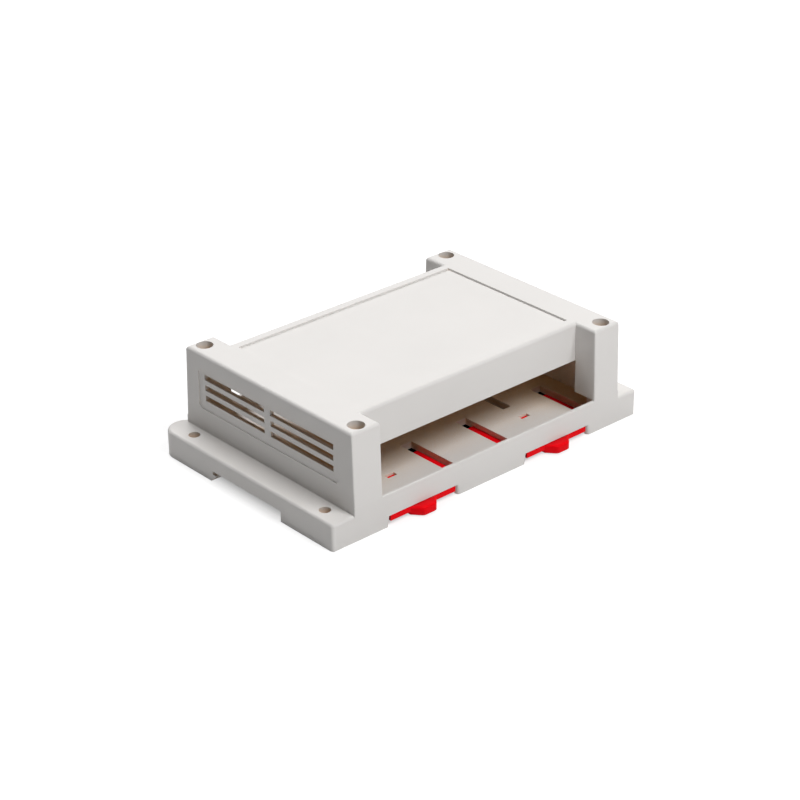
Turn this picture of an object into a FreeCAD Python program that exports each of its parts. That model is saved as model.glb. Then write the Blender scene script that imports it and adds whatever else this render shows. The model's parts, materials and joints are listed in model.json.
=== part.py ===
import FreeCAD, Part
import math
import os
import re

import Sketcher

# A low enclosure for a control circuit that clips on a 35 mm mounting rail.
# X runs along the rail, the red clips face -Y, and Z is up from the underside.
# The origin is midway between the four flange holes, on the underside.

SIZES = [
    # Outline of the base
    ("base_length", 145.0, "along the rail, over both flanges"),
    ("base_width", 90.0, "across the rail"),
    ("flange_width", 9.6, "ledge left outside each end wall"),
    ("flange_height", 10.0, "top of the end flanges"),
    ("joint_height", 12.9, "top of the base's walls, where the cover sits"),
    ("rim_drop", 0.3, "long rims below the joint, between the posts"),
    ("floor_height", 6.8, "top of the floor"),
    ("floor_thickness", 2.7, "floor plate"),
    ("rim_thickness", 1.3, "long walls of the base"),
    ("end_thickness", 2.0, "end walls of the base"),
    ("shell_wall", 1.8, "outer walls and ribs under the floor"),
    ("flange_skin", 2.0, "top skin of the hollow flanges"),
    ("edge_round", 1.1, "rounding of the outer edges of the base"),
    ("rim_round", 0.4, "rounding of the long rims' edges"),
    # Rounded lugs at the far corners
    ("lug_radius", 6.3, "arc that closes a flange's far corner"),
    ("lug_rise", 3.3, "how far a lug stands out of the long side"),
    # Holes in the flanges
    ("flange_hole_radius", 2.1, "holes for M4 screws"),
    ("flange_hole_inset", 5.1, "hole to the end of the flange"),
    ("flange_hole_setback", 9.7, "hole to the long side"),
    ("flange_boss_radius", 4.0, "boss around each hole"),
    # Rail channel
    ("rail_width", 35.0, "standard top hat rail"),
    ("rail_lip", 1.0, "thickness of the rail's edge"),
    ("rail_play", 0.25, "room above the rail's edge"),
    ("channel_clearance", 2.0, "channel wider than the rail"),
    ("channel_shift", 0.3, "channel's middle from the middle of the base"),
    ("rail_lead", 0.9, "slanted lead beside the channel's far edge"),
    ("hook_reach", 1.8, "fixed hooks under the rail's edge"),
    ("hook_blunt", 0.3, "height of a hook's tip"),
    ("hook_length", 12.0, "length of a fixed hook along the rail"),
    ("hook_middle", 12.0, "inner hooks from the middle of the base"),
    # Clip pockets under the floor
    ("clip_spacing", 64.0, "between the middles of the two clips"),
    ("pocket_width", 43.0, "pocket for a clip's wings"),
    ("notch_width", 30.3, "mouth in the long side, at its top"),
    ("notch_flare", 0.8, "how much wider each end is at the bottom"),
    ("notch_round", 1.0, "rounded ends of the mouth, at the long side"),
    ("window_width", 5.2, "floor windows over the guide lips"),
    ("window_setback", 5.0, "front end of the windows from the long side"),
    ("window_overlap", 3.2, "rear end of the windows past the channel's edge"),
    ("runner_ceiling", 4.9, "ceiling of the grooves over the runners"),
    ("guide_lip_height", 1.35, "guide lips under the wings"),
    ("guide_lip_gap", 0.2, "rear end of the guide lips before the channel"),
    ("slit_width", 3.8, "narrow slit over the rail"),
    ("slit_front", 1.4, "slit's front end past the channel's edge"),
    ("slit_length", 17.0, "length of the slit"),
    ("catch_width", 4.1, "catch hole in the floor"),
    ("catch_length", 2.1, "catch hole along the clip's travel"),
    ("catch_setback", 16.7, "middle of the catch hole from the long side"),
    ("catch_groove_height", 6.25, "ceiling of the groove before the catch hole"),
    ("catch_play", 0.25, "room around the catch nub"),
    # Clips
    ("clip_travel", 4.0, "how far a clip is pulled out"),
    ("clip_play", 0.3, "room above and below a clip"),
    ("clip_thickness", 2.1, "plate of a clip"),
    ("wing_play", 0.4, "room beside a wing"),
    ("runner_width", 5.1, "raised runner along a wing's outer edge"),
    ("tongue_play", 0.4, "room beside the part in the mouth"),
    ("clip_face_inset", 0.3, "clip's front face behind the long side"),
    ("wing_stop_gap", 4.3, "wings behind the front wall"),
    ("tab_width", 11.8, "pull tab at the long side"),
    ("tab_front_width", 5.6, "pull tab at its front"),
    ("tab_reach", 3.3, "pull tab in front of the long side"),
    ("tab_bottom", 0.6, "underside of the tab"),
    ("tab_round", 2.2, "rounded corners of the tab"),
    ("tab_top_round", 0.7, "rounded top edge of the tab"),
    ("tab_step", 0.15, "top of the tab below the plate's"),
    ("jaw_width", 20.0, "jaw that grips the rail"),
    ("jaw_reach", 2.4, "jaw in from the channel's edge"),
    ("jaw_gap", 0.4, "clip's rear edge before the channel"),
    ("jaw_depth", 5.5, "thick part behind the jaw"),
    ("jaw_bottom", 0.5, "underside of the jaw"),
    ("jaw_blunt", 0.8, "height of the jaw's tip"),
    ("latch_width", 5.2, "springy tongue with the catch nub"),
    ("latch_slot", 0.9, "slot around the tongue"),
    ("latch_length", 9.0, "springy tongue"),
    ("nub_top", 6.1, "top of the catch nub"),
    ("nub_lead", 0.5, "slanted front of the catch nub"),
    # Cover
    ("total_height", 40.0, "top of the cover"),
    ("post_width", 12.4, "corner posts along X"),
    ("post_lean", 1.0, "posts set back at the top, outer side"),
    ("post_round", 0.5, "rounding of the posts' upright edges"),
    ("skirt_setback", 9.8, "skirts behind the posts, at the joint"),
    ("skirt_lean", 0.6, "skirts set back at the top"),
    ("skirt_height", 25.4, "lower edge of the skirts"),
    ("cover_wall", 2.0, "walls of the cover"),
    ("roof_thickness", 2.4, "top plate of the cover"),
    ("post_core", 2.4, "end bays wider than the main bay"),
    ("cover_round", 1.3, "rounding of the cover's outer edges"),
    ("panel_margin_end", 13.0, "sunk top panel to the end walls"),
    ("panel_margin_side", 3.8, "sunk top panel to the skirts"),
    ("panel_depth", 0.8, "depth of the sunk top panel"),
    # Vents in the end walls
    ("vent_width", 75.0, "sunk vent panel"),
    ("vent_bottom", 18.5, "lower edge of the vent panel"),
    ("vent_top", 34.0, "upper edge of the vent panel"),
    ("vent_corner", 1.5, "cut corners of the vent panel"),
    ("vent_depth", 0.4, "depth of the vent panel"),
    ("louver_length", 32.7, "one vent slot"),
    ("louver_height", 2.2, "one vent slot"),
    ("louver_gap", 3.2, "between the two columns of slots"),
    ("louver_pitch", 4.05, "between rows of slots"),
    ("louver_rows", 3.0, "rows of slots"),
    ("louver_middle", 27.2, "height of the middle row"),
    # Cover screws
    ("screw_inset", 5.4, "screw to the end wall's outside"),
    ("screw_setback", 4.9, "screw to the long side"),
    ("screw_boss_radius", 3.9, "bosses in the base"),
    ("head_bore_radius", 3.05, "wells for the screw heads"),
    ("head_seat_height", 20.0, "ledge under the screw heads"),
    ("head_radius", 2.75, "screw head"),
    ("head_height", 2.2, "screw head"),
    ("head_round", 0.9, "rounded top of the head"),
    ("shank_radius", 1.45, "3 mm screw"),
    ("tip_radius", 1.05, "blunt tip of the shank"),
    ("tip_length", 0.8, "tapered end of the shank"),
    ("shank_bore_play", 0.25, "room around the shank in the cover"),
    ("pilot_play", 0.05, "room around the shank in the base"),
    ("screw_length", 15.0, "under the head"),
    ("pilot_spare", 1.5, "pilot hole below the screw's tip"),
    ("cross_width", 0.8, "cross recess"),
    ("cross_length", 3.0, "cross recess"),
    ("cross_depth", 1.2, "cross recess"),
]
ALIASES = {name for name, _, _ in SIZES}

# Heights and places that several pieces share, written in the sheet's names.
CEILING = "(floor_height - floor_thickness)"
HALF_LENGTH = "(base_length / 2)"
HALF_WIDTH = "(base_width / 2)"
END_WALL = "(base_length / 2 - flange_width)"
CHANNEL_FRONT = "(channel_shift - (rail_width + channel_clearance) / 2)"
CHANNEL_REAR = "(channel_shift + (rail_width + channel_clearance) / 2)"
HOOK_TOP = "(floor_height - floor_thickness - rail_lip - rail_play)"
FLANGE_HOLE_X = "(base_length / 2 - flange_hole_inset)"
FLANGE_HOLE_Y = "(base_width / 2 - flange_hole_setback)"
SCREW_X = "(base_length / 2 - flange_width - screw_inset)"
SCREW_Y = "(base_width / 2 - screw_setback)"
CATCH_Y = "(catch_setback - base_width / 2)"
CLIP_TOP = "(floor_height - floor_thickness - clip_play)"
CLIP_BOTTOM = "(floor_height - floor_thickness - clip_play - clip_thickness)"
RUNNER_TOP = "(runner_ceiling - clip_play)"
POST_INNER = "(base_length / 2 - flange_width - post_width)"
SCREW_TIP = "(head_seat_height - screw_length)"
LEAD_RISE = f"(({HOOK_TOP} - hook_blunt) * rail_lead / (rail_lead + hook_reach))"

SIGNS = ("-", "")

doc = FreeCAD.newDocument("Enclosure")
sheet = doc.addObject("Spreadsheet::Sheet", "Sizes")
for row, (name, value, meaning) in enumerate(SIZES, start=1):
    sheet.set(f"A{row}", name)
    sheet.set(f"B{row}", str(value))
    sheet.set(f"C{row}", meaning)
    sheet.setAlias(f"B{row}", name)
doc.recompute()


def cell_reference(match):
    word = match.group(0)
    return "Sizes." + word if word in ALIASES else word


def bound(expression):
    """Turn each size's name into a reference to its cell."""
    return re.sub(r"[a-z_]+", cell_reference, expression)


def measure(expression):
    """The present value of an expression in the sheet's names."""
    return float(sheet.evalExpression(bound(expression)))


def new_body(name):
    body = doc.addObject("PartDesign::Body", name)
    body.Label = name
    return body


def new_sketch(body, name, role, height="0"):
    """A sketch on one of the body's own planes, moved along the plane's normal."""
    sketch = body.newObject("Sketcher::SketchObject", name)
    plane = next(item for item in body.Origin.OriginFeatures if item.Role == role)
    sketch.AttachmentSupport = [(plane, "")]
    sketch.MapMode = "FlatFace"
    if height != "0":
        sketch.setExpression("AttachmentOffset.Base.z", bound(height))
    return sketch


def hold_point(sketch, index, end, x, y):
    """Tie one point of a sketch to its two expressions."""
    for kind, expression, axis in (("DistanceX", x, -2), ("DistanceY", y, -1)):
        value = measure(expression)
        if abs(value) < 1e-9:
            sketch.addConstraint(Sketcher.Constraint("PointOnObject", index, end, axis))
        else:
            number = sketch.addConstraint(Sketcher.Constraint(kind, -1, 1, index, end, value))
            sketch.setExpression(f"Constraints[{number}]", bound(expression))


def polygon(sketch, points):
    """A closed outline through points given as pairs of expressions."""
    places = [FreeCAD.Vector(measure(x), measure(y), 0) for x, y in points]
    first = sketch.GeometryCount
    count = len(points)
    for number in range(count):
        sketch.addGeometry(Part.LineSegment(places[number], places[(number + 1) % count]), False)
    for number in range(count):
        following = first + (number + 1) % count
        sketch.addConstraint(Sketcher.Constraint("Coincident", first + number, 2, following, 1))
    for number, (x, y) in enumerate(points):
        hold_point(sketch, first + number, 1, x, y)


def rectangle(sketch, left, right, low, high):
    polygon(sketch, [(left, low), (right, low), (right, high), (left, high)])


def circle(sketch, x, y, radius):
    centre = FreeCAD.Vector(measure(x), measure(y), 0)
    index = sketch.addGeometry(Part.Circle(centre, FreeCAD.Vector(0, 0, 1), measure(radius)), False)
    hold_point(sketch, index, 3, x, y)
    number = sketch.addConstraint(Sketcher.Constraint("Radius", index, measure(radius)))
    sketch.setExpression(f"Constraints[{number}]", bound(radius))


def pad(body, sketch, length, reverse=False, middle=False):
    feature = body.newObject("PartDesign::Pad", sketch.Name + "_pad")
    feature.Profile = sketch
    feature.setExpression("Length", bound(length))
    feature.Reversed = reverse
    feature.Midplane = middle
    sketch.Visibility = False
    doc.recompute()
    return feature


def pocket(body, sketch, length, reverse=False, middle=False):
    feature = body.newObject("PartDesign::Pocket", sketch.Name + "_cut")
    before = body.Shape.Volume
    feature.Profile = sketch
    feature.setExpression("Length", bound(length))
    feature.Reversed = reverse
    feature.Midplane = middle
    sketch.Visibility = False
    doc.recompute()
    if body.Shape.Volume > before - 1e-6:
        raise RuntimeError(sketch.Name + " cuts nothing")
    return feature


def edge_names(shape, wanted):
    """Names of the edges of a shape that pass a test on their middle point and direction."""
    names = []
    for number, edge in enumerate(shape.Edges, start=1):
        start = edge.Vertexes[0].Point
        end = edge.Vertexes[-1].Point
        if wanted(start, end):
            names.append(f"Edge{number}")
    return names


def round_edges(body, name, base, radius, wanted):
    fillet = body.newObject("PartDesign::Fillet", name)
    fillet.Base = (base, edge_names(base.Shape, wanted))
    fillet.setExpression("Radius", bound(radius))
    doc.recompute()
    return fillet


def lean_faces(body, name, base, lean, wanted):
    """Lean the faces whose centres pass a test, by a length over the cover's height."""
    leaning = []
    foot = []
    for number, face in enumerate(base.Shape.Faces, start=1):
        if face.normalAt(0, 0).z < -0.99:
            foot.append(f"Face{number}")
        elif wanted(face.CenterOfMass):
            leaning.append(f"Face{number}")
    draft = body.newObject("PartDesign::Draft", name)
    draft.Base = (base, leaning)
    draft.NeutralPlane = (base, foot)
    draft.setExpression("Angle", bound(f"atan({lean} / (total_height - joint_height))"))
    doc.recompute()
    return draft


def upright(start, end):
    return abs(start.x - end.x) < 1.5 and abs(start.y - end.y) < 1.5 and abs(start.z - end.z) > 2


def deck_outline(body):
    """Plan of the base: a rectangle whose far corners swell into round lugs."""
    plan = new_sketch(body, "deck", "XY_Plane")
    centre_x = f"({HALF_LENGTH} - lug_radius)"
    centre_y = f"({HALF_WIDTH} + lug_rise - lug_radius)"
    radius = measure("lug_radius")
    spread = math.asin((measure("lug_radius") - measure("lug_rise")) / radius)
    right = FreeCAD.Vector(measure(centre_x), measure(centre_y), 0)
    left = FreeCAD.Vector(-right.x, right.y, 0)
    upwards = FreeCAD.Vector(0, 0, 1)
    arcs = [Part.ArcOfCircle(Part.Circle(right, upwards, radius), 0, math.pi - spread),
            Part.ArcOfCircle(Part.Circle(left, upwards, radius), spread, math.pi)]
    near = -measure(HALF_WIDTH)
    end = measure(HALF_LENGTH)
    corners = [FreeCAD.Vector(-end, near, 0), FreeCAD.Vector(end, near, 0)]
    plan.addGeometry([Part.LineSegment(corners[0], corners[1]),
                      Part.LineSegment(corners[1], arcs[0].StartPoint), arcs[0],
                      Part.LineSegment(arcs[0].EndPoint, arcs[1].StartPoint), arcs[1],
                      Part.LineSegment(arcs[1].EndPoint, corners[0])], False)
    for number in range(6):
        plan.addConstraint(Sketcher.Constraint("Coincident", number, 2, (number + 1) % 6, 1))
    hold_point(plan, 0, 1, "-" + HALF_LENGTH, "-" + HALF_WIDTH)
    hold_point(plan, 0, 2, HALF_LENGTH, "-" + HALF_WIDTH)
    for arc, sign in ((2, ""), (4, "-")):
        hold_point(plan, arc, 3, sign + centre_x, centre_y)
        number = plan.addConstraint(Sketcher.Constraint("Radius", arc, radius))
        plan.setExpression(f"Constraints[{number}]", bound("lug_radius"))
    for arc, point, height in ((2, 1, centre_y), (2, 2, HALF_WIDTH), (4, 1, HALF_WIDTH), (4, 2, centre_y)):
        number = plan.addConstraint(Sketcher.Constraint("DistanceY", -1, 1, arc, point, measure(height)))
        plan.setExpression(f"Constraints[{number}]", bound(height))
    return plan


# Base: one moulding with a tray on top and the rail channel beneath.
def make_base():
    body = new_body("base")

    pad(body, deck_outline(body), "flange_height")

    plan = new_sketch(body, "tray_wall", "XY_Plane")
    rectangle(plan, "-" + END_WALL, END_WALL, "-" + HALF_WIDTH, HALF_WIDTH)
    tray = pad(body, plan, "joint_height")

    half_length = measure(HALF_LENGTH)
    flange_height = measure("flange_height")

    def flange_edge(start, end):
        level = abs(start.z - flange_height) < 0.01 and abs(end.z - flange_height) < 0.01
        near_corner = upright(start, end) and start.y < 0
        return (level or near_corner) and max(abs(start.x), abs(end.x)) > half_length - 0.01

    round_edges(body, "flange_round", tray, "edge_round", flange_edge)

    plan = new_sketch(body, "long_rims", "XY_Plane", "joint_height")
    rectangle(plan, "-" + POST_INNER, POST_INNER, f"-{HALF_WIDTH} - edge_round", f"{HALF_WIDTH} + edge_round")
    pocket(body, plan, "rim_drop")

    plan = new_sketch(body, "tray", "XY_Plane", "joint_height")
    rectangle(plan, f"-({END_WALL} - end_thickness)", f"{END_WALL} - end_thickness",
              f"-({HALF_WIDTH} - rim_thickness)", f"{HALF_WIDTH} - rim_thickness")
    tray = pocket(body, plan, "joint_height - floor_height")

    rim_top = measure("joint_height - rim_drop")

    def rim_edge(start, end):
        level = abs(start.z - rim_top) < 0.01 and abs(end.z - rim_top) < 0.01
        return level and abs(start.y - end.y) < 0.01

    round_edges(body, "rim_round", tray, "rim_round", rim_edge)

    bosses = new_sketch(body, "screw_bosses", "XY_Plane", CEILING)
    for sign_x in SIGNS:
        for sign_y in SIGNS:
            circle(bosses, sign_x + SCREW_X, sign_y + SCREW_Y, "screw_boss_radius")
    pad(body, bosses, f"joint_height - {CEILING}")

    # The channel for the rail runs through both ends, with a slanted lead at its far edge.
    section = new_sketch(body, "rail_channel", "YZ_Plane")
    polygon(section, [(CHANNEL_FRONT, "-edge_round"), (f"{CHANNEL_REAR} + rail_lead", "-edge_round"),
                      (f"{CHANNEL_REAR} + rail_lead", "0"), (CHANNEL_REAR, LEAD_RISE),
                      (CHANNEL_REAR, CEILING), (CHANNEL_FRONT, CEILING)])
    pocket(body, section, "base_length + 2 * edge_round", middle=True)

    # Pockets for the clips, open to the channel.
    plan = new_sketch(body, "clip_pockets", "XY_Plane")
    for sign in SIGNS:
        middle = f"{sign}(clip_spacing / 2)"
        rectangle(plan, f"{middle} - pocket_width / 2", f"{middle} + pocket_width / 2",
                  f"shell_wall - {HALF_WIDTH}", f"{CHANNEL_FRONT} + edge_round")
    pocket(body, plan, CEILING, reverse=True)

    # Mouths in the long side, wider at the bottom.
    front = new_sketch(body, "clip_mouths", "XZ_Plane", f"{HALF_WIDTH} - 2 * shell_wall")
    for sign in SIGNS:
        middle = f"{sign}(clip_spacing / 2)"
        half = "notch_width / 2"
        polygon(front, [(f"{middle} - {half} - notch_flare", "-edge_round"),
                        (f"{middle} + {half} + notch_flare", "-edge_round"),
                        (f"{middle} + {half}", CEILING),
                        (f"{middle} - {half}", CEILING)])
    mouths = pocket(body, front, "3 * shell_wall", reverse=True)
    near = -measure(HALF_WIDTH)
    reach = measure("clip_spacing / 2 + notch_width / 2 + notch_flare")

    def mouth_end(start, end):
        on_face = abs(start.y - near) < 0.01 and abs(end.y - near) < 0.01
        return on_face and upright(start, end) and abs(start.x) < reach + 0.01

    round_edges(body, "mouth_round", mouths, "notch_round", mouth_end)

    # Grooves in the pockets' ceiling for the clips' raised runners.
    plan = new_sketch(body, "runner_grooves", "XY_Plane")
    for sign in SIGNS:
        middle = f"{sign}(clip_spacing / 2)"
        half = "pocket_width / 2"
        inner = f"({half} - wing_play - runner_width - wing_play)"
        front = f"shell_wall - {HALF_WIDTH}"
        rectangle(plan, f"{middle} - {half}", f"{middle} - {inner}", front, CHANNEL_FRONT)
        rectangle(plan, f"{middle} + {inner}", f"{middle} + {half}", front, CHANNEL_FRONT)
    pocket(body, plan, "runner_ceiling", reverse=True)

    # Hollows between the ribs on the hook side, one cell repeated along X.
    cells = 5
    span = f"(2 * {SCREW_X} - 2 * screw_boss_radius - 2 * shell_wall)"
    cell = f"(({span} + shell_wall) / {cells})"
    plan = new_sketch(body, "rear_cell", "XY_Plane")
    rectangle(plan, f"-{span} / 2", f"-{span} / 2 + {cell} - shell_wall",
              f"{CHANNEL_REAR} + shell_wall", f"{HALF_WIDTH} - shell_wall")
    first = pocket(body, plan, CEILING, reverse=True)
    row = body.newObject("PartDesign::LinearPattern", "rear_cells")
    row.Originals = [first]
    row.Direction = (plan, ["H_Axis"])
    row.Occurrences = cells
    row.setExpression("Length", bound(f"{cell} * {cells - 1}"))
    body.Tip = row
    doc.recompute()

    # Hollows between the clip pockets, either side of a middle rib.
    plan = new_sketch(body, "front_cells", "XY_Plane")
    inner = "(clip_spacing / 2 - pocket_width / 2 - shell_wall)"
    for near, far in (("shell_wall / 2", inner), ("-" + inner, "-shell_wall / 2")):
        rectangle(plan, near, far, f"shell_wall - {HALF_WIDTH}", f"{CHANNEL_FRONT} - shell_wall")
    pocket(body, plan, CEILING, reverse=True)

    # Hollow flanges: a cell either side of the channel with the screw boss in it,
    # and one over the channel.
    plan = new_sketch(body, "flange_cells", "XY_Plane")
    outer = f"({HALF_LENGTH} - shell_wall)"
    wall = f"({END_WALL} - end_thickness + shell_wall)"
    for sign in SIGNS:
        left, right = (f"{sign}{outer}", f"{sign}{wall}") if sign else (wall, outer)
        rectangle(plan, left, right, f"shell_wall - {HALF_WIDTH}", f"{CHANNEL_FRONT} - shell_wall")
        rectangle(plan, left, right, f"{CHANNEL_REAR} + shell_wall", f"{HALF_WIDTH} - shell_wall")
        rectangle(plan, left, right, f"{CHANNEL_FRONT} + shell_wall", f"{CHANNEL_REAR} - shell_wall")
    pocket(body, plan, "flange_height - flange_skin", reverse=True)

    bosses = new_sketch(body, "flange_bosses", "XY_Plane")
    for sign_x in SIGNS:
        for sign_y in SIGNS:
            circle(bosses, sign_x + FLANGE_HOLE_X, sign_y + FLANGE_HOLE_Y, "flange_boss_radius")
    pad(body, bosses, "flange_height - flange_skin / 2")

    holes = new_sketch(body, "flange_holes", "XY_Plane", "-edge_round")
    for sign_x in SIGNS:
        for sign_y in SIGNS:
            circle(holes, sign_x + FLANGE_HOLE_X, sign_y + FLANGE_HOLE_Y, "flange_hole_radius")
    pocket(body, holes, "flange_height + 2 * edge_round", reverse=True)

    pilots = new_sketch(body, "pilot_holes", "XY_Plane", "joint_height")
    for sign_x in SIGNS:
        for sign_y in SIGNS:
            circle(pilots, sign_x + SCREW_X, sign_y + SCREW_Y, "shank_radius + pilot_play")
    pocket(body, pilots, f"joint_height - {SCREW_TIP} + pilot_spare")

    # Floor windows over the guide lips, narrow slits over the rail and catch holes.
    plan = new_sketch(body, "floor_windows", "XY_Plane", "joint_height")
    for sign in SIGNS:
        middle = f"{sign}(clip_spacing / 2)"
        half = "pocket_width / 2"
        front = f"window_setback - {HALF_WIDTH}"
        rear = f"{CHANNEL_FRONT} + window_overlap"
        rectangle(plan, f"{middle} - {half}", f"{middle} - {half} + window_width", front, rear)
        rectangle(plan, f"{middle} + {half} - window_width", f"{middle} + {half}", front, rear)
        rectangle(plan, f"{middle} - slit_width / 2", f"{middle} + slit_width / 2",
                  f"{CHANNEL_FRONT} - slit_front", f"{CHANNEL_FRONT} - slit_front + slit_length")
        rectangle(plan, f"{middle} - catch_width / 2", f"{middle} + catch_width / 2",
                  f"{CATCH_Y} - catch_length / 2", f"{CATCH_Y} + catch_length / 2")
    pocket(body, plan, "joint_height")

    groove = new_sketch(body, "catch_grooves", "XY_Plane")
    for sign in SIGNS:
        middle = f"{sign}(clip_spacing / 2)"
        rectangle(groove, f"{middle} - catch_width / 2", f"{middle} + catch_width / 2",
                  f"{CATCH_Y} - catch_length / 2 - clip_travel - catch_play", f"{CATCH_Y}")
    pocket(body, groove, "catch_groove_height", reverse=True)

    # Guide lips that carry the clips' wings, right under the windows.
    lips = new_sketch(body, "guide_lips", "XY_Plane")
    for sign in SIGNS:
        middle = f"{sign}(clip_spacing / 2)"
        root = "pocket_width / 2 + shell_wall / 2"
        edge = "pocket_width / 2 - window_width"
        front = f"window_setback - {HALF_WIDTH}"
        rear = f"{CHANNEL_FRONT} - guide_lip_gap"
        rectangle(lips, f"{middle} - ({root})", f"{middle} - ({edge})", front, rear)
        rectangle(lips, f"{middle} + {edge}", f"{middle} + {root}", front, rear)
    pad(body, lips, "guide_lip_height")

    # Fixed hooks with a slanted lead, which hold the far edge of the rail.
    # The outer ones are flush with the end faces.
    for label, place in (("outer_left", f"-({HALF_LENGTH} - hook_length / 2)"),
                         ("inner_left", "-hook_middle"),
                         ("inner_right", "hook_middle"),
                         ("outer_right", f"{HALF_LENGTH} - hook_length / 2")):
        profile = new_sketch(body, f"hook_{label}", "YZ_Plane", place)
        polygon(profile, [(f"{CHANNEL_REAR} + rail_lead", "0"),
                          (f"{CHANNEL_REAR} + rail_lead", HOOK_TOP),
                          (f"{CHANNEL_REAR} - hook_reach", HOOK_TOP),
                          (f"{CHANNEL_REAR} - hook_reach", f"{HOOK_TOP} - hook_blunt")])
        pad(body, profile, "hook_length", middle=True)
    return body


# Cover: skirts at the long sides, closed ends with vents, and a post at each corner.
def make_cover():
    body = new_body("cover")
    outline = new_sketch(body, "cover_outline", "XY_Plane", "joint_height")
    skirt = f"({HALF_WIDTH} - skirt_setback)"
    polygon(outline, [("-" + END_WALL, "-" + HALF_WIDTH), ("-" + POST_INNER, "-" + HALF_WIDTH),
                      ("-" + POST_INNER, "-" + skirt), (POST_INNER, "-" + skirt),
                      (POST_INNER, "-" + HALF_WIDTH), (END_WALL, "-" + HALF_WIDTH),
                      (END_WALL, HALF_WIDTH), (POST_INNER, HALF_WIDTH),
                      (POST_INNER, skirt), ("-" + POST_INNER, skirt),
                      ("-" + POST_INNER, HALF_WIDTH), ("-" + END_WALL, HALF_WIDTH)])
    block = pad(body, outline, "total_height - joint_height")
    half_width = measure(HALF_WIDTH)
    skirt_place = measure(skirt)
    block = lean_faces(body, "post_lean_outside", block, "post_lean",
                       lambda centre: abs(abs(centre.y) - half_width) < 0.01)
    block = lean_faces(body, "skirt_lean_outside", block, "skirt_lean",
                       lambda centre: abs(abs(centre.y) - skirt_place) < 0.01)

    top = measure("total_height")

    def post_corner(start, end):
        return abs(start.z - end.z) > 1 and abs(start.y + end.y) / 2 > skirt_place + 1

    def top_edge(start, end):
        return abs(start.z - top) < 0.01 and abs(end.z - top) < 0.01

    block = round_edges(body, "post_corners", block, "post_round", post_corner)
    round_edges(body, "cover_edges", block, "cover_round", top_edge)

    plan = new_sketch(body, "main_bay", "XY_Plane", "joint_height")
    side = f"({HALF_WIDTH} - skirt_setback - skirt_lean - cover_wall)"
    end = f"({END_WALL} - cover_wall)"
    rectangle(plan, "-" + end, end, "-" + side, side)
    pocket(body, plan, "total_height - roof_thickness - joint_height", reverse=True)

    plan = new_sketch(body, "end_bays", "XY_Plane", "joint_height")
    inner = f"({POST_INNER} + cover_wall)"
    wide = f"({side} + post_core)"
    rectangle(plan, "-" + end, "-" + inner, "-" + wide, wide)
    rectangle(plan, inner, end, "-" + wide, wide)
    pocket(body, plan, "total_height - roof_thickness - joint_height", reverse=True)

    # Terminal openings under both skirts, cut straight through.
    front = new_sketch(body, "terminal_openings", "XY_Plane", "joint_height")
    reach = f"({HALF_WIDTH} - skirt_setback)"
    rectangle(front, "-" + inner, inner, "-" + reach, reach)
    pocket(body, front, "skirt_height - joint_height", reverse=True)

    plan = new_sketch(body, "top_panel", "XY_Plane", "total_height")
    panel_x = f"({END_WALL} - panel_margin_end)"
    panel_y = f"({HALF_WIDTH} - skirt_setback - skirt_lean - panel_margin_side)"
    rectangle(plan, "-" + panel_x, panel_x, "-" + panel_y, panel_y)
    pocket(body, plan, "panel_depth")

    wells = new_sketch(body, "head_wells", "XY_Plane", "total_height")
    bores = new_sketch(body, "shank_bores", "XY_Plane", "total_height")
    for sign_x in SIGNS:
        for sign_y in SIGNS:
            circle(wells, sign_x + SCREW_X, sign_y + SCREW_Y, "head_bore_radius")
            circle(bores, sign_x + SCREW_X, sign_y + SCREW_Y, "shank_radius + shank_bore_play")
    pocket(body, wells, "total_height - head_seat_height")
    pocket(body, bores, "total_height - joint_height + cover_round")

    # Vent panels: a shallow sunk field with cut corners, then rows of slots.
    half = "(vent_width / 2)"
    for label, place, reverse in (("left", f"-{END_WALL}", True), ("right", END_WALL, False)):
        field = new_sketch(body, f"vent_field_{label}", "YZ_Plane", place)
        polygon(field, [(f"-{half}", "vent_bottom + vent_corner"), (f"vent_corner - {half}", "vent_bottom"),
                        (f"{half} - vent_corner", "vent_bottom"), (half, "vent_bottom + vent_corner"),
                        (half, "vent_top - vent_corner"), (f"{half} - vent_corner", "vent_top"),
                        (f"vent_corner - {half}", "vent_top"), (f"-{half}", "vent_top - vent_corner")])
        pocket(body, field, "vent_depth", reverse=reverse)

        slots = new_sketch(body, f"vent_slots_{label}", "YZ_Plane", place)
        lowest = "(louver_middle - louver_pitch * (louver_rows - 1) / 2 - louver_height / 2)"
        near = "(louver_gap / 2)"
        far = "(louver_gap / 2 + louver_length)"
        rectangle(slots, "-" + far, "-" + near, lowest, f"{lowest} + louver_height")
        rectangle(slots, near, far, lowest, f"{lowest} + louver_height")
        first = pocket(body, slots, "cover_wall + cover_round / 2", reverse=reverse)
        rows = body.newObject("PartDesign::LinearPattern", f"vent_rows_{label}")
        rows.Originals = [first]
        rows.Direction = (slots, ["V_Axis"])
        rows.setExpression("Occurrences", bound("louver_rows"))
        rows.setExpression("Length", bound("louver_pitch * (louver_rows - 1)"))
        body.Tip = rows
        doc.recompute()
    return body


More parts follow.
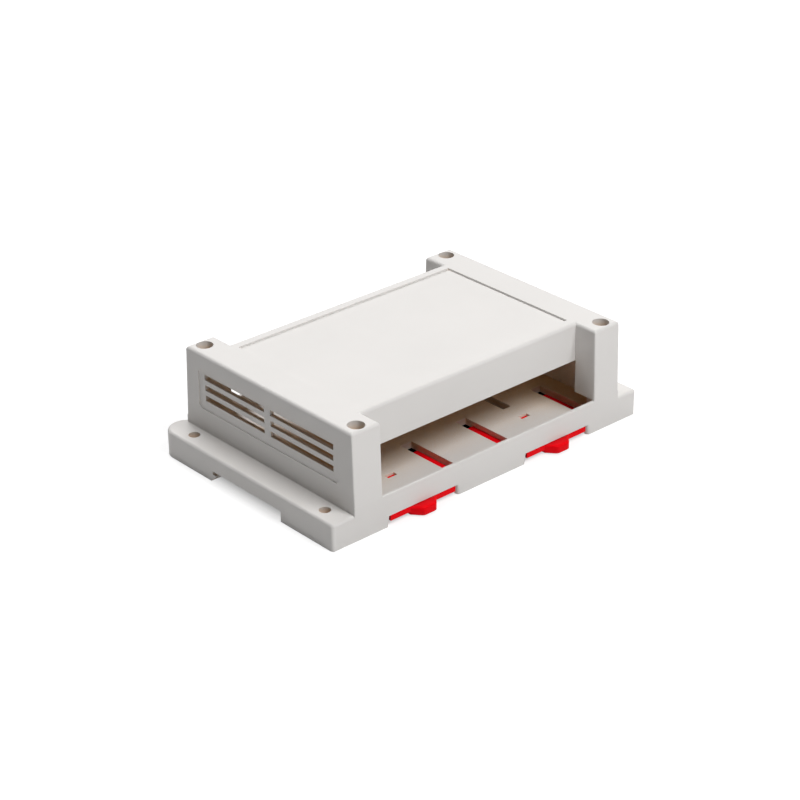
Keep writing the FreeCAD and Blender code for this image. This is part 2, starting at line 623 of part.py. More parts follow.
# Clip: one moulding with a pull tab, guide wings, a catch tongue and a rail jaw.
# Modelled about X = 0 and then moved to its pocket.
def make_clip(name, sign):
    body = new_body(name)
    face = f"(clip_face_inset - {HALF_WIDTH})"
    shoulder = f"(shell_wall - {HALF_WIDTH} + wing_stop_gap)"
    rear = f"({CHANNEL_FRONT} - jaw_gap)"
    wing = "(pocket_width / 2 - wing_play)"
    tongue = "(notch_width / 2 - tongue_play)"
    plate = new_sketch(body, f"{name}_plate", "XY_Plane", CLIP_BOTTOM)
    polygon(plate, [("-" + tongue, face), (tongue, face), (tongue, shoulder), (wing, shoulder),
                    (wing, rear), ("-" + wing, rear), ("-" + wing, shoulder), ("-" + tongue, shoulder)])
    pad(body, plate, "clip_thickness")

    # Runners along the wings' outer edges, seen through the floor windows.
    runners = new_sketch(body, f"{name}_runners", "XY_Plane", f"{CLIP_TOP} - clip_play")
    rectangle(runners, "-" + wing, f"runner_width - {wing}", shoulder, rear)
    rectangle(runners, f"{wing} - runner_width", wing, shoulder, rear)
    pad(body, runners, f"{RUNNER_TOP} - {CLIP_TOP} + clip_play")

    tab = new_sketch(body, f"{name}_tab", "XY_Plane", "tab_bottom")
    tip = f"-{HALF_WIDTH} - tab_reach"
    root = f"{face} + clip_thickness"
    polygon(tab, [("-tab_width / 2", face), ("-tab_front_width / 2", tip),
                  ("tab_front_width / 2", tip), ("tab_width / 2", face),
                  ("tab_width / 2", root), ("-tab_width / 2", root)])
    raised = pad(body, tab, f"{CLIP_TOP} - tab_step - tab_bottom")

    front = measure(tip)
    face_place = measure(face)
    tab_top = measure(f"{CLIP_TOP} - tab_step")

    def tab_corner(start, end):
        return upright(start, end) and abs(start.y - front) < 0.01

    def tab_top_edge(start, end):
        level = abs(start.z - tab_top) < 0.01 and abs(end.z - tab_top) < 0.01
        return level and min(start.y, end.y) < face_place - 0.01

    raised = round_edges(body, f"{name}_tab_round", raised, "tab_round", tab_corner)
    round_edges(body, f"{name}_tab_top_round", raised, "tab_top_round", tab_top_edge)

    jaw = new_sketch(body, f"{name}_jaw", "YZ_Plane")
    tip = f"({CHANNEL_FRONT} + jaw_reach)"
    polygon(jaw, [(f"{rear} - jaw_depth", f"{CLIP_BOTTOM} + clip_thickness / 2"),
                  (f"{rear} - jaw_depth", CLIP_BOTTOM),
                  (f"{rear} - jaw_depth / 2", "jaw_bottom"),
                  (f"{rear} + jaw_reach / 4", "jaw_bottom"),
                  (tip, f"{HOOK_TOP} - jaw_blunt"),
                  (tip, HOOK_TOP),
                  (f"{rear} - jaw_depth / 4", HOOK_TOP)])
    pad(body, jaw, "jaw_width", middle=True)

    # The slot round the tongue is a U, open ended at the tongue's root.
    catch = new_sketch(body, f"{name}_latch_slot", "XY_Plane", CLIP_TOP)
    inside = "(latch_width / 2)"
    outside = "(latch_width / 2 + latch_slot)"
    nub_rear = f"({CATCH_Y} + catch_length / 2 - catch_play)"
    tip_y = f"({CATCH_Y} - catch_length / 2 - latch_slot)"
    root = f"({tip_y} + latch_length)"
    polygon(catch, [("-" + outside, root), ("-" + outside, f"{tip_y} - latch_slot"),
                    (outside, f"{tip_y} - latch_slot"), (outside, root), (inside, root),
                    (inside, tip_y), ("-" + inside, tip_y), ("-" + inside, root)])
    pocket(body, catch, "clip_thickness")

    nub = new_sketch(body, f"{name}_nub", "YZ_Plane")
    nub_front = f"({CATCH_Y} - catch_length / 2 + catch_play)"
    polygon(nub, [(nub_front, f"{CLIP_TOP} - clip_play"), (nub_rear, f"{CLIP_TOP} - clip_play"),
                  (nub_rear, "nub_top"), (f"{nub_front} + nub_lead / 2", "nub_top"),
                  (nub_front, "nub_top - nub_lead")])
    pad(body, nub, "catch_width - 2 * catch_play", middle=True)

    body.setExpression("Placement.Base.x", bound(f"{sign}(clip_spacing / 2)"))
    doc.recompute()
    return body


# Cover screws: turned blanks with a rounded head and a cross recess.
def make_screws():
    screws = []
    for number, (sign_x, sign_y) in enumerate([(x, y) for x in SIGNS for y in SIGNS], start=1):
        body = new_body(f"screw_{number}")
        profile = new_sketch(body, f"screw_{number}_profile", "XZ_Plane")
        polygon(profile, [("0", "-screw_length"), ("tip_radius", "-screw_length"),
                          ("shank_radius", "tip_length - screw_length"), ("shank_radius", "0"),
                          ("head_radius", "0"), ("head_radius", "head_height - head_round"),
                          ("head_radius - head_round", "head_height"), ("0", "head_height")])
        turned = body.newObject("PartDesign::Revolution", f"screw_{number}_turned")
        turned.Profile = profile
        turned.ReferenceAxis = (profile, ["V_Axis"])
        turned.Angle = 360
        profile.Visibility = False
        doc.recompute()
        cross = new_sketch(body, f"screw_{number}_cross", "XY_Plane", "head_height")
        wide = "cross_width / 2"
        long = "cross_length / 2"
        polygon(cross, [(f"-{wide}", f"-{long}"), (wide, f"-{long}"), (wide, f"-{wide}"), (long, f"-{wide}"),
                        (long, wide), (wide, wide), (wide, long), (f"-{wide}", long), (f"-{wide}", wide),
                        (f"-{long}", wide), (f"-{long}", f"-{wide}"), (f"-{wide}", f"-{wide}")])
        pocket(body, cross, "cross_depth")
        body.setExpression("Placement.Base.x", bound(sign_x + SCREW_X))
        body.setExpression("Placement.Base.y", bound(sign_y + SCREW_Y))
        body.setExpression("Placement.Base.z", bound("head_seat_height"))
        screws.append(body)
    group = doc.addObject("Part::Compound", "cover_screws")
    group.Label = "cover_screws"
    group.Links = screws
    doc.recompute()
    return group


nodes = [make_base(), make_cover(), make_clip("rail_clip_left", "-"), make_clip("rail_clip_right", ""),
         make_screws()]
doc.recompute()
for item in doc.Objects:
    if "Invalid" in item.State or "Error" in item.State:
        raise RuntimeError(f"{item.Name} failed: {item.State}")
os.makedirs("parts", exist_ok=True)
for node in nodes:
    if node.Shape.isNull() or not node.Shape.isValid():
        raise RuntimeError(f"{node.Label} has no sound shape")
    node.Shape.exportStep(f"parts/{node.Label}.step")
    print(node.Label, len(node.Shape.Solids), "solids", round(node.Shape.Volume), "mm3")
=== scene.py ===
"""Looks of the low rail enclosure: its finishes, the studio and the camera."""
import json
import logging
import math
from dataclasses import dataclass
from enum import Enum
from typing import Dict, List, Optional, Tuple, Union

import bpy
from mathutils import Matrix, Vector

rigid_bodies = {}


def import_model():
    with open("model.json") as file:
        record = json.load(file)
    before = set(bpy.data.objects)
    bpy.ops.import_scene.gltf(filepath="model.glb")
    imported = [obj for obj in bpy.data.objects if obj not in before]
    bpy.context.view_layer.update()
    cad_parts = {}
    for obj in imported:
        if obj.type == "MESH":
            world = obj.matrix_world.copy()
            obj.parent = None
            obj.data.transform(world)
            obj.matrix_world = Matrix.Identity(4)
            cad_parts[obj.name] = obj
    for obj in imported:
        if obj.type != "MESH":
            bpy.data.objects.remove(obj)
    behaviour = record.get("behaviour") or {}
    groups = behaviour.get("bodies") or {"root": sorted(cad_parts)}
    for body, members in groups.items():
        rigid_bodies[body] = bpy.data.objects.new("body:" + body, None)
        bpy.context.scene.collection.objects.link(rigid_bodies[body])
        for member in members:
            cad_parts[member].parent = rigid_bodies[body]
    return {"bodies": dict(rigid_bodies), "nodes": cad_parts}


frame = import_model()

Colour = Tuple[float, float, float, float]
Point = Tuple[float, float, float]
Socket = bpy.types.NodeSocket

LOG = logging.getLogger("enclosure")
MM = 0.001

# How alike a softened and a true normal are, on an edge and on a flat face.
ALIKE_ON_EDGE = 0.90
ALIKE_ON_FLAT = 0.998
EDGE_SAMPLES = 4
OPENNESS_SAMPLES = 8

# How soften() rounds a piece's edges.
WELD_GAP = 0.001 * MM
SHARP_TURN = math.radians(35.0)
ROUNDING_STEPS = 2
FLAT_FACE_WEIGHT = 60


def rgba(red: float, green: float, blue: float) -> Colour:
    """Return an opaque colour from three linear parts."""
    return (red, green, blue, 1.0)


def shaded(colour: Colour, factor: float) -> Colour:
    """Return a colour made darker or paler by a factor."""
    return rgba(*(factor * part for part in colour[:3]))


BLACK = rgba(0.0, 0.0, 0.0)
WHITE = rgba(1.0, 1.0, 1.0)


class Member(Enum):
    """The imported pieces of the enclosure."""

    BASE = "base"
    COVER = "cover"
    SCREWS = "cover_screws"
    LEFT_CLIP = "rail_clip_left"
    RIGHT_CLIP = "rail_clip_right"


@dataclass(frozen=True)
class Pattern:
    """Solid noise in a piece's own coordinates.

    Attributes:
        scale: Features per metre.
        detail: Number of octaves.
        roughness: Strength of the finer octaves.
        faint: Noise value at which the pattern begins.
        full: Noise value from which it is full.
    """

    scale: float
    detail: float
    roughness: float = 0.5
    faint: float = 0.0
    full: float = 1.0


CLOUDS = Pattern(30.0, 3.0, faint=0.3, full=0.7)
SPECKS = Pattern(1400.0, 2.0, 0.6, faint=0.45, full=0.75)
RUBBING = Pattern(160.0, 3.0, faint=0.35, full=0.7)
SHEEN = Pattern(220.0, 4.0, faint=0.3, full=0.7)
WAVES = Pattern(50.0, 2.0)
SPARKED_GRAIN = Pattern(3600.0, 2.0, 0.55)
STAINS = Pattern(900.0, 3.0, faint=0.4, full=0.7)
SCUFFS = Pattern(2500.0, 2.0)
PITS = Pattern(6000.0, 2.0)


def direct_rays(tree: bpy.types.NodeTree) -> Socket:
    """Tell the rays that show the backdrop from those that carry its light.

    Args:
        tree: The node tree of the floor or of the world.

    Returns:
        A factor that is 1 for the camera and for what metal or glass shows, and otherwise 0.
    """
    path = tree.nodes.new("ShaderNodeLightPath")
    found = path.outputs["Is Camera Ray"]
    for kind in ("Is Glossy Ray", "Is Transmission Ray"):
        either = tree.nodes.new("ShaderNodeMath")
        either.operation = "MAXIMUM"
        tree.links.new(found, either.inputs[0])
        tree.links.new(path.outputs[kind], either.inputs[1])
        found = either.outputs["Value"]
    return found


class Graph:
    """A material's node tree, with short ways to add and join nodes."""

    def __init__(self, name: str) -> None:
        """Start an empty surface.

        Args:
            name: The material's name.
        """
        self.material = bpy.data.materials.new(name)
        self.material.use_nodes = True
        self.tree = self.material.node_tree
        self.tree.nodes.clear()

    def node(self, kind: str, **settings: object) -> bpy.types.Node:
        """Add a node.

        Args:
            kind: Blender's name for the node type, without its prefix.
            **settings: Attributes to set on the node.

        Returns:
            The new node.
        """
        made = self.tree.nodes.new("ShaderNode" + kind)
        for key, value in settings.items():
            setattr(made, key, value)
        return made

    def join(self, source: Socket, target: Socket) -> None:
        """Link two sockets."""
        self.tree.links.new(source, target)

    def place(self) -> Socket:
        """Find where a point lies on its piece.

        Returns:
            The object's own coordinates.
        """
        found = self.tree.nodes.get("place")
        if found is None:
            found = self.node("TexCoord", name="place")
        return found.outputs["Object"]

    def height(self) -> Socket:
        """Find how high a point lies.

        Returns:
            The height over the underside, in metres.
        """
        parts = self.node("SeparateXYZ")
        self.join(self.place(), parts.inputs["Vector"])
        return parts.outputs["Z"]

    def noise(self, pattern: Pattern) -> Socket:
        """Add a pattern's noise as it is.

        Args:
            pattern: The pattern.

        Returns:
            The noise value, from 0 to 1.
        """
        made = self.node("TexNoise")
        made.inputs["Scale"].default_value = pattern.scale
        made.inputs["Detail"].default_value = pattern.detail
        made.inputs["Roughness"].default_value = pattern.roughness
        self.join(self.place(), made.inputs["Vector"])
        return made.outputs["Fac"]

    def span(self, value: Socket, low: float, high: float,
             start: float = 0.0, end: float = 1.0) -> Socket:
        """Map a value to another range.

        Args:
            value: The value to map.
            low: Result at start.
            high: Result at end.
            start: Lower end of the value's range.
            end: Upper end of the value's range.

        Returns:
            The mapped value.
        """
        made = self.node("MapRange")
        self.join(value, made.inputs["Value"])
        for key, number in (("From Min", start), ("From Max", end), ("To Min", low), ("To Max", high)):
            made.inputs[key].default_value = number
        return made.outputs["Result"]

    def patterned(self, pattern: Pattern, low: float, high: float) -> Socket:
        """Add a value that runs between two limits as a pattern does.

        Args:
            pattern: The pattern.
            low: Value where the pattern is faint.
            high: Value where it is full.

        Returns:
            The value.
        """
        return self.span(self.noise(pattern), low, high, pattern.faint, pattern.full)

    def times(self, first: Socket, second: Socket) -> Socket:
        """Multiply two values.

        Args:
            first: A value.
            second: Another value.

        Returns:
            Their product.
        """
        made = self.node("Math", operation="MULTIPLY")
        self.join(first, made.inputs[0])
        self.join(second, made.inputs[1])
        return made.outputs["Value"]

    def blend(self, amount: Socket, first: Union[Colour, Socket], second: Union[Colour, Socket]) -> Socket:
        """Mix two colours.

        Args:
            amount: Share of the second colour.
            first: A colour or a socket.
            second: A colour or a socket.

        Returns:
            The mixed colour.
        """
        made = self.node("Mix", data_type="RGBA")
        self.join(amount, made.inputs["Factor"])
        for key, part in (("A", first), ("B", second)):
            socket = next(s for s in made.inputs if s.name == key and s.type == "RGBA")
            if isinstance(part, Socket):
                self.join(part, socket)
            else:
                socket.default_value = part
        return next(s for s in made.outputs if s.type == "RGBA")

    def bump(self, height: Socket, strength: float, depth: float, under: Optional[Socket] = None) -> Socket:
        """Turn a relief into a surface normal.

        Args:
            height: The relief, from 0 to 1.
            strength: Share of the full effect.
            depth: Depth of the relief, in metres.
            under: A normal that this one is laid over.

        Returns:
            The new normal.
        """
        made = self.node("Bump")
        made.inputs["Strength"].default_value = strength
        made.inputs["Distance"].default_value = depth
        self.join(height, made.inputs["Height"])
        if under is not None:
            self.join(under, made.inputs["Normal"])
        return made.outputs["Normal"]

    def edges(self, radius: float) -> Socket:
        """Find where the surface turns sharply.

        Args:
            radius: How far from an edge the effect reaches, in metres.

        Returns:
            A factor that is 1 on edges and 0 on flats.
        """
        soft = self.node("Bevel", samples=EDGE_SAMPLES)
        soft.inputs["Radius"].default_value = radius
        flat = self.node("NewGeometry")
        alike = self.node("VectorMath", operation="DOT_PRODUCT")
        self.join(soft.outputs["Normal"], alike.inputs[0])
        self.join(flat.outputs["Normal"], alike.inputs[1])
        return self.span(alike.outputs["Value"], 1.0, 0.0, ALIKE_ON_EDGE, ALIKE_ON_FLAT)

    def openness(self, reach: float) -> Socket:
        """Find how open the space around a point is.

        Args:
            reach: Distance to look around, in metres.

        Returns:
            A factor that is 1 in the open and 0 in a closed corner.
        """
        made = self.node("AmbientOcclusion", samples=OPENNESS_SAMPLES)
        made.inputs["Distance"].default_value = reach
        return made.outputs["AO"]

    def surface(self, **sockets: object) -> bpy.types.Material:
        """Close the tree with a surface shader.

        Args:
            **sockets: Values or sockets by the shader's socket names, with spaces as underscores.

        Returns:
            The finished material.
        """
        shader = self.node("BsdfPrincipled")
        for key, part in sockets.items():
            socket = shader.inputs[key.replace("_", " ")]
            if isinstance(part, Socket):
                self.join(part, socket)
            else:
                socket.default_value = part
        output = self.node("OutputMaterial")
        self.join(shader.outputs["BSDF"], output.inputs["Surface"])
        return self.material


@dataclass(frozen=True)
class MouldedPlastic:
    """Matte moulded plastic with a fine sparked grain, painted shade far in the shell, and painted light
    and shade in slots and holes.

    Attributes:
        name: The material's name.
        colour: Colour of the open faces.
        worn: Colour of specks and rubbed edges.
        far_in_painted_shade: Painted shade far in the shell: a darker, browner colour where little light
            reaches.
        gap_painted_light_and_shade: Light and shade painted in slots, holes and narrow openings: paler and
            warmer than the faces on the housing, darker on the clips.
        roughness: Mean roughness.
        grain: Strength of the grain.
        specular: Strength of the sheen.
        gap_paint_open: Openness from which a point has none of the painted light and shade of narrow
            openings.
        gap_paint_shut: Openness up to which a point has all of it.
        gap_paint_reach: Distance that counts for it, in metres.
        painted_shade_open: Openness from which a point has none of the painted shade.
        painted_shade_reach: Distance that counts for it, in metres.
        painted_shade_heights: Heights between which it comes in, in metres over the underside.
        mottle: The darkest and the palest cloud, as parts of the colour.
        speck_share: Share of the worn colour in a speck.
        edge_reach: Width of a rubbed edge, in metres.
        edge_share: Least and greatest share of the worn colour on an edge.
        roughness_spread: How far the roughness goes to either side of its mean.
        wave_strength: Strength of the slow waves in the faces.
        wave_depth: Depth of the waves, in metres.
        grain_depth: Depth of the grain, in metres.
    """

    name: str
    colour: Colour
    worn: Colour
    far_in_painted_shade: Colour
    gap_painted_light_and_shade: Colour
    roughness: float
    grain: float
    specular: float
    gap_paint_open: float
    gap_paint_shut: float = 0.10
    gap_paint_reach: float = 6.0 * MM
    painted_shade_open: float = 0.31
    painted_shade_reach: float = 70.0 * MM
    painted_shade_heights: Tuple[float, float] = (3.0 * MM, 6.0 * MM)
    mottle: Tuple[float, float] = (0.985, 1.012)
    speck_share: float = 0.10
    edge_reach: float = 0.45 * MM
    edge_share: Tuple[float, float] = (0.1, 0.6)
    roughness_spread: float = 0.06
    wave_strength: float = 0.05
    wave_depth: float = 0.12 * MM
    grain_depth: float = 0.05 * MM

    def faces(self, graph: Graph) -> Socket:
        """Colour the open faces with clouds, specks and rubbed edges.

        Args:
            graph: The material's node tree.

        Returns:
            The colour.
        """
        darker, paler = (shaded(self.colour, part) for part in self.mottle)
        colour = graph.blend(graph.patterned(CLOUDS, 0.0, 1.0), darker, paler)
        colour = graph.blend(graph.patterned(SPECKS, 0.0, self.speck_share), colour, self.worn)
        rubbed = graph.times(graph.edges(self.edge_reach), graph.patterned(RUBBING, *self.edge_share))
        return graph.blend(rubbed, colour, self.worn)

    def painted_shade_share(self, graph: Graph) -> Socket:
        """Find where shade is painted far in the shell.

        Args:
            graph: The material's node tree.

        Returns:
            A factor for the painted shade: 0 in the open and 1 far in the shell.
        """
        closed = graph.span(graph.openness(self.painted_shade_reach), 1.0, 0.0, 0.0, self.painted_shade_open)
        raised = graph.span(graph.height(), 0.0, 1.0, *self.painted_shade_heights)
        return graph.times(closed, raised)

    def gap_paint_share(self, graph: Graph) -> Socket:
        """Find where light and shade are painted in slots, holes and narrow openings.

        Args:
            graph: The material's node tree.

        Returns:
            A factor for that painted light and shade: 0 in the open and 1 in a narrow gap.
        """
        return graph.span(graph.openness(self.gap_paint_reach), 1.0, 0.0, self.gap_paint_shut, self.gap_paint_open)

    def material(self) -> bpy.types.Material:
        """Make the finish.

        Returns:
            The material.
        """
        graph = Graph(self.name)
        faces = self.faces(graph)
        # Painted shade: a darker, browner colour far in the shell, where little light reaches.
        colour = graph.blend(self.painted_shade_share(graph), faces, self.far_in_painted_shade)
        # Painted light and shade in slots and holes: paler and warmer on the housing, darker on the clips.
        colour = graph.blend(self.gap_paint_share(graph), colour, self.gap_painted_light_and_shade)
        roughness = graph.patterned(SHEEN, self.roughness - self.roughness_spread,
                                    self.roughness + self.roughness_spread)
        waves = graph.bump(graph.noise(WAVES), self.wave_strength, self.wave_depth)
        grain = graph.bump(graph.noise(SPARKED_GRAIN), self.grain, self.grain_depth, waves)
        return graph.surface(Base_Color=colour, Roughness=roughness, Normal=grain,
                             Specular_IOR_Level=self.specular)


@dataclass(frozen=True)
class PlatedSteel:
    """Zinc plated steel with stains and fine pits.

    Attributes:
        name: The material's name.
        colour: Colour of the bright plating.
        dull: Colour of a stain.
        roughness: The usual roughness.
        smoother: How far the roughness goes down.
        rougher: How far the roughness goes up.
        edge_reach: Width of a bright edge, in metres.
        pit_strength: Strength of the pits.
        pit_depth: Depth of the pits, in metres.
    """

    name: str
    colour: Colour
    dull: Colour
    roughness: float
    smoother: float = 0.08
    rougher: float = 0.12
    edge_reach: float = 0.15 * MM
    pit_strength: float = 0.15
    pit_depth: float = 0.02 * MM

    def material(self) -> bpy.types.Material:
        """Make the finish.

        Returns:
            The material.
        """
        graph = Graph(self.name)
        colour = graph.blend(graph.patterned(STAINS, 0.0, 1.0), self.colour, self.dull)
        colour = graph.blend(graph.edges(self.edge_reach), colour, self.colour)
        roughness = graph.patterned(SCUFFS, self.roughness - self.smoother, self.roughness + self.rougher)
        normal = graph.bump(graph.noise(PITS), self.pit_strength, self.pit_depth)
        return graph.surface(Base_Color=colour, Roughness=roughness, Normal=normal, Metallic=1.0)


HOUSING_FINISH = MouldedPlastic(
    name="light_grey_abs",
    colour=rgba(0.74, 0.72, 0.70),
    worn=rgba(0.75, 0.735, 0.72),
    # Painted shade far in the shell: darker and browner than the faces.
    far_in_painted_shade=rgba(0.63, 0.40, 0.18),
    # Painted light in slots, holes and narrow openings: paler and warmer than the faces, as light coming
    # through the plastic.
    gap_painted_light_and_shade=rgba(0.90, 0.76, 0.64),
    roughness=0.50,
    grain=0.10,
    specular=0.12,
    gap_paint_open=0.45,
)
CLIP_FINISH = MouldedPlastic(
    name="bright_red_abs",
    colour=rgba(0.90, 0.001, 0.006),
    worn=rgba(0.90, 0.008, 0.018),
    # Painted shade far in the shell: a darker red.
    far_in_painted_shade=rgba(0.70, 0.001, 0.004),
    # Painted shade in slots, recesses and narrow openings: a darker, duller red.
    gap_painted_light_and_shade=rgba(0.52, 0.018, 0.026),
    roughness=0.44,
    grain=0.06,
    specular=0.05,
    gap_paint_open=0.72,
)
SCREW_FINISH = PlatedSteel(
    name="zinc_plated_steel",
    colour=rgba(0.60, 0.58, 0.54),
    dull=rgba(0.38, 0.36, 0.33),
    roughness=0.34,
)


def member(which: Member) -> bpy.types.Object:
    """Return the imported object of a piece."""
    return frame["nodes"][which.value]


def dress(piece: bpy.types.Object, material: bpy.types.Material) -> None:
    """Give a piece one material in place of what it had."""
    for slot in piece.material_slots:
        slot.material = material


def soften(piece: bpy.types.Object, width: float) -> None:
    """Round a piece's sharp edges a little, as a moulding's are.

    Args:
        piece: The piece.
        width: Width of the rounding, in metres.
    """
    weld = piece.modifiers.new("join_faces", "WELD")
    weld.merge_threshold = WELD_GAP
    rounding = piece.modifiers.new("soft_edges", "BEVEL")
    rounding.width = width
    rounding.segments = ROUNDING_STEPS
    rounding.limit_method = "ANGLE"
    rounding.angle_limit = SHARP_TURN
    rounding.use_clamp_overlap = True
    shading = piece.modifiers.new("even_shading", "WEIGHTED_NORMAL")
    shading.keep_sharp = False
    shading.weight = FLAT_FACE_WEIGHT


@dataclass
class Mouldings:
    """Pieces moulded from one plastic, with slightly rounded edges.

    Attributes:
        members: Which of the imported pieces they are.
        finish: Their plastic.
        edge_width: Width of the rounding of an edge, in metres.
    """

    members: Tuple[Member, ...]
    finish: MouldedPlastic
    edge_width: float

    def build(self) -> List[str]:
        """Dress the pieces.

        Returns:
            The names of the pieces that were dressed.
        """
        material = self.finish.material()
        pieces = [member(which) for which in self.members]
        for piece in pieces:
            dress(piece, material)
            soften(piece, self.edge_width)
        return [piece.name for piece in pieces]


@dataclass
class Housing(Mouldings):
    """The two grey mouldings: the base with its tray and the vented cover."""

    members: Tuple[Member, ...] = (Member.BASE, Member.COVER)
    finish: MouldedPlastic = HOUSING_FINISH
    edge_width: float = 0.22 * MM


@dataclass
class RailClips(Mouldings):
    """The two red clips that grip the rail."""

    members: Tuple[Member, ...] = (Member.LEFT_CLIP, Member.RIGHT_CLIP)
    finish: MouldedPlastic = CLIP_FINISH
    edge_width: float = 0.25 * MM


@dataclass
class CoverScrews:
    """The four screws down in the wells of the cover.

    Attributes:
        finish: Their metal.
    """

    finish: PlatedSteel = SCREW_FINISH

    def build(self) -> List[str]:
        """Dress the screws.

        Returns:
            The names of the pieces that were dressed.
        """
        piece = member(Member.SCREWS)
        dress(piece, self.finish.material())
        return [piece.name]


@dataclass
class Floor:
    """A plain white floor that keeps a soft shadow, with a painted black shadow under the enclosure.

    Attributes:
        half_size: Half of the floor's width, in metres.
        level: Height of the floor, just below the underside, in metres.
        bounce: Colour with which the floor lights the enclosure.
        seen: Colour of the floor as the lamps light it for the camera.
        glow: Strength of white added to it near the enclosure.
        near: Distance up to which the glow has that strength, in metres.
        far: Distance from which the glow alone is white, in metres.
        painted_shadow_half: Half of the length and of the width of the painted black shadow under the
            enclosure, in metres.
        painted_shadow_edge: Width over which the painted shadow fades to the lit floor, in metres.
    """

    half_size: float = 3.0
    level: float = -0.02 * MM
    bounce: Colour = rgba(0.79, 0.79, 0.79)
    seen: Colour = rgba(0.40, 0.40, 0.40)
    glow: float = 0.72
    near: float = 0.20
    far: float = 0.70
    painted_shadow_half: Tuple[float, float] = (71.5 * MM, 44.5 * MM)
    painted_shadow_edge: float = 7.0 * MM

    def outside_painted_shadow(self, graph: Graph) -> Socket:
        """Find where the floor is not painted black as shadow under the enclosure.

        Args:
            graph: The floor's node tree.

        Returns:
            A factor that is 0 in the painted shadow under the enclosure and 1 beside it.
        """
        parts = graph.node("SeparateXYZ")
        graph.join(graph.place(), parts.inputs["Vector"])
        widest = graph.node("Math", operation="MAXIMUM")
        for number, (axis, half) in enumerate(zip("XY", self.painted_shadow_half)):
            from_middle = graph.node("Math", operation="ABSOLUTE")
            graph.join(parts.outputs[axis], from_middle.inputs[0])
            beside = graph.span(from_middle.outputs["Value"], 0.0, 1.0, half - self.painted_shadow_edge, half)
            graph.join(beside, widest.inputs[number])
        return widest.outputs["Value"]

    def shown(self, graph: Graph) -> Socket:
        """Make the floor that the camera sees: white with a soft shadow from the lamps, and a painted black
        shadow under the enclosure.

        Args:
            graph: The floor's node tree.

        Returns:
            The shader.
        """
        # Painted shadow: to the camera the floor is black under the enclosure, in its lit colour and its
        # glow alike.
        outside_painted_shadow = self.outside_painted_shadow(graph)
        matt = graph.node("BsdfDiffuse")
        graph.join(graph.blend(outside_painted_shadow, BLACK, self.seen), matt.inputs["Color"])
        away = graph.node("VectorMath", operation="LENGTH")
        graph.join(graph.place(), away.inputs[0])
        glow = graph.span(away.outputs["Value"], self.glow, 1.0, self.near, self.far)
        white = graph.node("Emission")
        graph.join(graph.times(outside_painted_shadow, glow), white.inputs["Strength"])
        both = graph.node("AddShader")
        graph.join(matt.outputs["BSDF"], both.inputs[0])
        graph.join(white.outputs["Emission"], both.inputs[1])
        return both.outputs["Shader"]

    def material(self) -> bpy.types.Material:
        """Make the floor's material.

        Returns:
            The material.
        """
        graph = Graph("studio_floor")
        real = graph.node("BsdfDiffuse")
        real.inputs["Color"].default_value = self.bounce
        choice = graph.node("MixShader")
        graph.join(direct_rays(graph.tree), choice.inputs["Fac"])
        graph.join(real.outputs["BSDF"], choice.inputs[1])
        graph.join(self.shown(graph), choice.inputs[2])
        output = graph.node("OutputMaterial")
        graph.join(choice.outputs["Shader"], output.inputs["Surface"])
        return graph.material

    def build(self) -> List[str]:
        """Lay the floor.

        Returns:
            The floor's name.
        """
        size = self.half_size
        mesh = bpy.data.meshes.new("floor")
        corners = [(-size, -size, self.level), (size, -size, self.level),
                   (size, size, self.level), (-size, size, self.level)]
        mesh.from_pydata(corners, [], [(0, 1, 2, 3)])
        floor = bpy.data.objects.new("floor", mesh)
        bpy.context.scene.collection.objects.link(floor)
        mesh.materials.append(self.material())
        return [floor.name]


@dataclass(frozen=True)
class Lamp:
    """One square soft box with white light.

    Attributes:
        name: The lamp's name.
        place: Where its middle hangs, in metres.
        size: Its width, in metres.
        power: Its power, in watts.
    """

    name: str
    place: Point
    size: float
    power: float

    def build(self, target: Vector) -> str:
        """Hang the lamp.

        Args:
            target: The point that it faces.

        Returns:
            The lamp's name.
        """
        data = bpy.data.lights.new(self.name, "AREA")
        data.shape = "SQUARE"
        data.size = self.size
        data.energy = self.power
        lamp = bpy.data.objects.new(self.name, data)
        lamp.location = self.place
        lamp.rotation_mode = "QUATERNION"
        lamp.rotation_quaternion = (target - Vector(self.place)).to_track_quat("-Z", "Y")
        bpy.context.scene.collection.objects.link(lamp)
        return lamp.name


@dataclass
class Studio:
    """Soft light from a high box in front, a low one in front and a wide one behind.

    Attributes:
        aim: The point that the lamps face, in metres.
        lamps: The lamps.
    """

    aim: Point = (0.0, 0.0, 15.0 * MM)
    lamps: Tuple[Lamp, ...] = (
        Lamp("back_box", (0.18, 0.70, 1.05), 1.0, 12.0),
        Lamp("high_front_box", (0.12, -0.77, 1.06), 0.6, 12.1),
        Lamp("low_front_box", (0.0, -1.00, 0.80), 0.5, 0.9),
    )

    def surround(self) -> None:
        """Make the world, which only the camera and reflections see, as white."""
        world = bpy.data.worlds.new("studio_air")
        bpy.context.scene.world = world
        world.use_nodes = True
        tree = world.node_tree
        tree.nodes.clear()
        white = tree.nodes.new("ShaderNodeBackground")
        white.inputs["Color"].default_value = WHITE
        tree.links.new(direct_rays(tree), white.inputs["Strength"])
        output = tree.nodes.new("ShaderNodeOutputWorld")
        tree.links.new(white.outputs["Background"], output.inputs["Surface"])

    def build(self) -> List[str]:
        """Light the scene.

        Returns:
            The names of the lamps.
        """
        self.surround()
        return [lamp.build(Vector(self.aim)) for lamp in self.lamps]


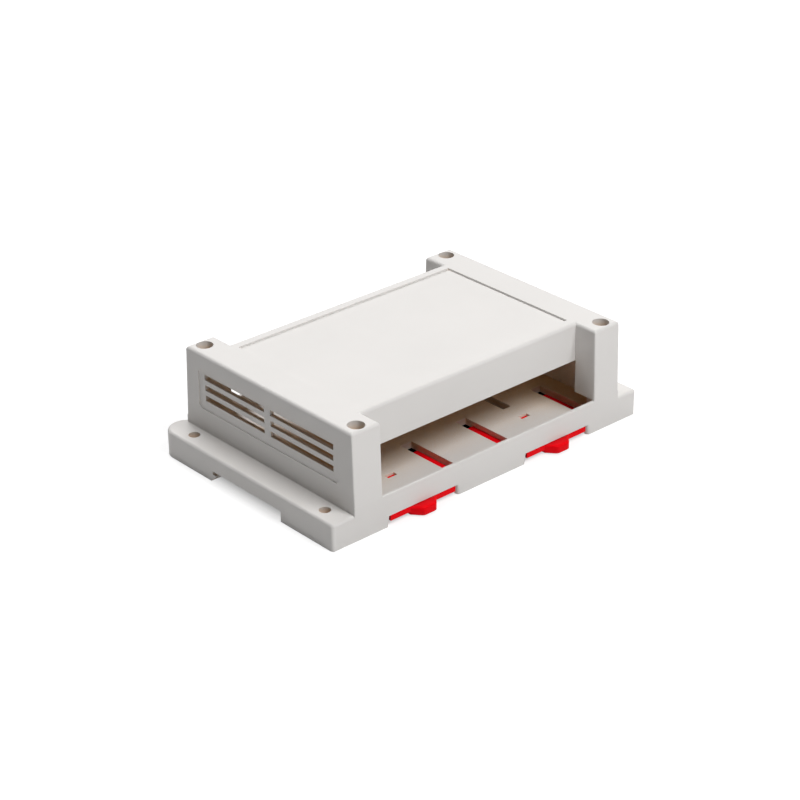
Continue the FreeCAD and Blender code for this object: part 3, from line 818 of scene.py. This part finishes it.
@dataclass
class PhotoCamera:
    """The camera of the photograph, as fitted to the object's corners.

    Attributes:
        azimuth: Turn from the front of the enclosure, in degrees.
        elevation: Angle over the floor, in degrees.
        roll: Lean about the line of sight, in degrees.
        distance: Distance from the middle of the underside, in metres.
        aside: How far right of the picture's middle that point lies, in metres.
        above: How far over the picture's middle it lies, in metres.
        lens: Focal length, in millimetres.
        sensor: Width of the picture in the camera, in millimetres.
        nearest: Distance from which it sees, in metres.
        farthest: Distance to which it sees, in metres.
    """

    azimuth: float = -41.9144
    elevation: float = 27.3922
    roll: float = -0.2336
    distance: float = 795.943 * MM
    aside: float = 1.776 * MM
    above: float = -12.118 * MM
    lens: float = 99.598
    sensor: float = 36.0
    nearest: float = 0.05
    farthest: float = 20.0

    def build(self) -> List[str]:
        """Place the camera.

        Returns:
            The camera's name.
        """
        turn, tilt, lean = (math.radians(part) for part in (self.azimuth, self.elevation, self.roll))
        back = Vector((math.sin(turn) * math.cos(tilt), -math.cos(turn) * math.cos(tilt), math.sin(tilt)))
        level = Vector((0.0, 0.0, 1.0)).cross(back).normalized()
        rise = back.cross(level)
        right = math.cos(lean) * level + math.sin(lean) * rise
        up = -math.sin(lean) * level + math.cos(lean) * rise
        data = bpy.data.cameras.new("photo_camera")
        data.lens = self.lens
        data.sensor_width = self.sensor
        data.clip_start = self.nearest
        data.clip_end = self.farthest
        camera = bpy.data.objects.new("photo_camera", data)
        bpy.context.scene.collection.objects.link(camera)
        place = self.distance * back - self.aside * right - self.above * up
        axes = Matrix((right, up, back)).transposed()
        camera.matrix_world = Matrix.Translation(place) @ axes.to_4x4()
        bpy.context.scene.camera = camera
        return [camera.name]


def clear_stray() -> None:
    """Take out whatever was in the scene and doesn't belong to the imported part."""
    kept = set(frame["nodes"].values()) | set(frame["bodies"].values())
    for item in list(bpy.data.objects):
        if item not in kept:
            bpy.data.objects.remove(item, do_unlink=True)


def main() -> None:
    """Dress the enclosure and set it in the studio."""
    logging.basicConfig(level=logging.INFO, format="%(name)s: %(message)s")
    clear_stray()
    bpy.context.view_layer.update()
    for assembly in (Housing(), RailClips(), CoverScrews(), Floor(), Studio(), PhotoCamera()):
        for name in assembly.build():
            LOG.info("%s: %s", type(assembly).__name__, name)
    bpy.context.scene.view_settings.view_transform = "Standard"


if __name__ == "__main__":
    main()
